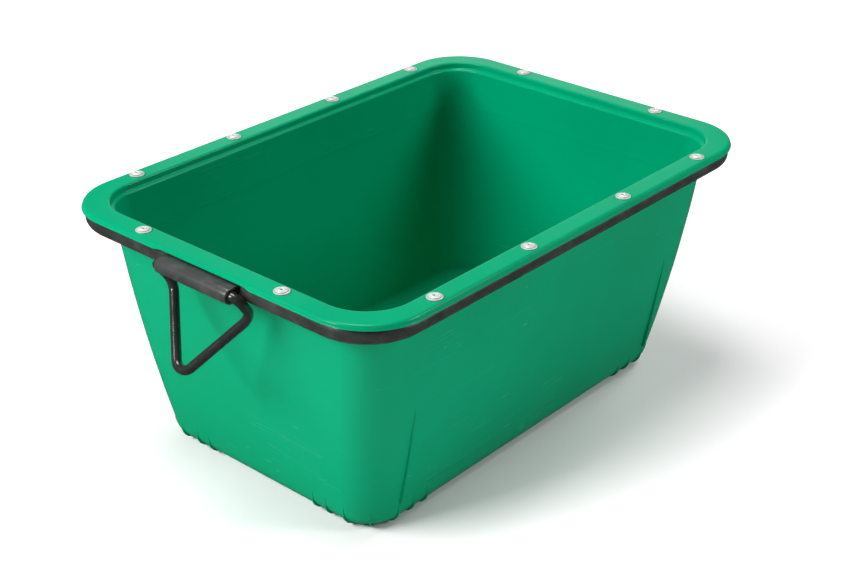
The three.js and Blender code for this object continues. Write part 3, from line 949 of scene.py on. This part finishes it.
def rivet_profile():
    """Hollow rivet: bulged end inside the tube, shank, wide head with a raised ring and a bore."""
    points = [
        (2.35, -21), (4.8, -20.6), (6.2, -16.5), (5.4, -12.6), (3.9, -10.6), (3.9, 2.1),
        (9.25, 2.0), (9.3, 2.9), (8.6, 3.8), (7.2, 4.0), (6.1, 3.7), (5.5, 4.75), (3.6, 4.8),
        (2.35, 3.9), (2.35, -21),
    ]
    rounds = (0.8, 2, 1.5, 1, 0.2, 0.3, 0.4, 0.5, 0.8, 0.7, 0.6, 0.7, 0.5)
    return [(r * MM, h * MM) for r, h in smooth_profile(points, rounds)]


def mandrel_profile():
    """Stub left in the bore, its top broken off a little hollow."""
    points = [
        (0, -23.8), (3.3, -23.2), (3.3, -21.3), (1.9, -21.3), (1.9, 2.6), (1.2, 2.9), (0.5, 2.4),
        (0, 2.3),
    ]
    rounds = (0.5, 0.4, 0.2, 0.2, 0.3, 0.2)
    return [(r * MM, h * MM) for r, h in smooth_profile(points, rounds)]


def build_fastener(number):
    """Washer, rivet and mandrel at the place of their CAD nodes, each a little differently worn."""
    tag = f"{number:02d}"
    low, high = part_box(f"washer_{tag}")
    centre = Vector(((low.x + high.x) / 2, (low.y + high.y) / 2, RIM_Z))
    kinds = (
        ("washer_disc", "washer", washer_profile(), 72, "washer_steel", ZINC),
        ("rivet_head", "rivet", rivet_profile(), 56, "rivet_aluminium", ALUMINIUM),
        ("mandrel_stub", "mandrel", mandrel_profile(), 24, "mandrel_steel", MANDREL),
    )
    for name, node, profile, sides, slot, material in kinds:
        bm = lathe(profile, sides, centre)
        for vertex in bm.verts:
            if node != "mandrel" and vertex.co.z > RIM_Z + MM:
                wobble = noise.noise((vertex.co - centre) * 220 + Vector((number * 7.1, 0, 0)))
                vertex.co.z += FASTENER_WOBBLE * wobble
        piece = new_piece(f"{name}_{tag}", bm, "tub", material, sharp=55)
        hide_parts(f"{node}_{tag}")


# ---------------------------------------------------------------- build everything

build_shell()
build_ribs()
build_fins()
build_tube()
for end, body in (("front", "front_loop"), ("back", "back_loop")):
    build_sleeve(end, body)
    build_weld(end, body)
    build_loop(end, body)
for number in range(1, FASTENERS + 1):
    build_fastener(number)


# ---------------------------------------------------------------- camera, floor and light

def look(azimuth, elevation, roll=0.0):
    """Rotation of a camera or lamp that stands in a direction given in degrees, and that direction."""
    a = math.radians(azimuth)
    e = math.radians(elevation)
    back = Vector((math.sin(a) * math.cos(e), -math.cos(a) * math.cos(e), math.sin(e)))
    turn = (-back).to_track_quat("-Z", "Y").to_matrix().to_4x4()
    return turn @ Matrix.Rotation(math.radians(roll), 4, "Z"), back


def add_camera():
    data = bpy.data.cameras.new("camera")
    camera = bpy.data.objects.new("camera", data)
    bpy.context.scene.collection.objects.link(camera)
    data.sensor_width = 36
    data.lens = CAMERA_LENS
    data.clip_end = 50
    turn, _ = look(*CAMERA_LOOK)
    camera.matrix_world = Matrix.Translation(CAMERA_PLACE) @ turn
    bpy.context.scene.camera = camera


def add_floor():
    bm = bmesh.new()
    bmesh.ops.create_grid(bm, x_segments=8, y_segments=8, size=FLOOR_HALF)
    mesh = bpy.data.meshes.new("floor")
    bm.to_mesh(mesh)
    bm.free()
    floor = bpy.data.objects.new("floor", mesh)
    bpy.context.scene.collection.objects.link(floor)
    n = Nodes("floor_paper")
    n.colour(n.mix(n.noise(2.0), (0.975, 0.945, 0.960), (0.985, 0.955, 0.970)))
    n.roughness(n.band(n.noise(30), 0.3, 0.7, 0.8, 0.9))
    n.set(Specular_IOR_Level=0.1)
    mesh.materials.append(n.material)
    # kept out of the object's reflections, so that the plastic's colour stays clean
    floor.visible_glossy = False


# name, azimuth and elevation in degrees, distance, width and height in metres, watts, seen in gloss
SOFTBOXES = (
    ("overhead", -70, 80, 9.0, 4.0, 4.0, 480, True),
    ("key", -38, 31, 8.0, 3.0, 3.0, 505, False),
    ("front", -16, 34, 8.0, 2.0, 1.8, 300, True),
    ("fill", 122, 26, 8.0, 2.4, 2.6, 222, True),
    ("back", 165, 48, 8.0, 3.0, 3.0, 220, False),
    ("far_sheen", 221, 14, 7.0, 3.4, 2.8, 20, True),
)
LIGHT_AIM = Vector((0, 0, 0.25))
WORLD_LIGHT = 0.06


def add_softbox(name, azimuth, elevation, distance, width, height, power, in_gloss):
    data = bpy.data.lights.new(name, "AREA")
    data.shape = "RECTANGLE"
    data.size = width
    data.size_y = height
    data.energy = power
    lamp = bpy.data.objects.new(name, data)
    bpy.context.scene.collection.objects.link(lamp)
    turn, back = look(azimuth, elevation)
    lamp.matrix_world = Matrix.Translation(LIGHT_AIM + back * distance) @ turn
    lamp.visible_glossy = in_gloss


def add_light():
    world = bpy.data.worlds.new("studio")
    bpy.context.scene.world = world
    world.use_nodes = True
    background = world.node_tree.nodes["Background"]
    background.inputs["Color"].default_value = (1, 1, 1, 1)
    background.inputs["Strength"].default_value = WORLD_LIGHT
    for softbox in SOFTBOXES:
        add_softbox(*softbox)
    bpy.context.scene.view_settings.view_transform = "Standard"


add_camera()
add_floor()
add_light()
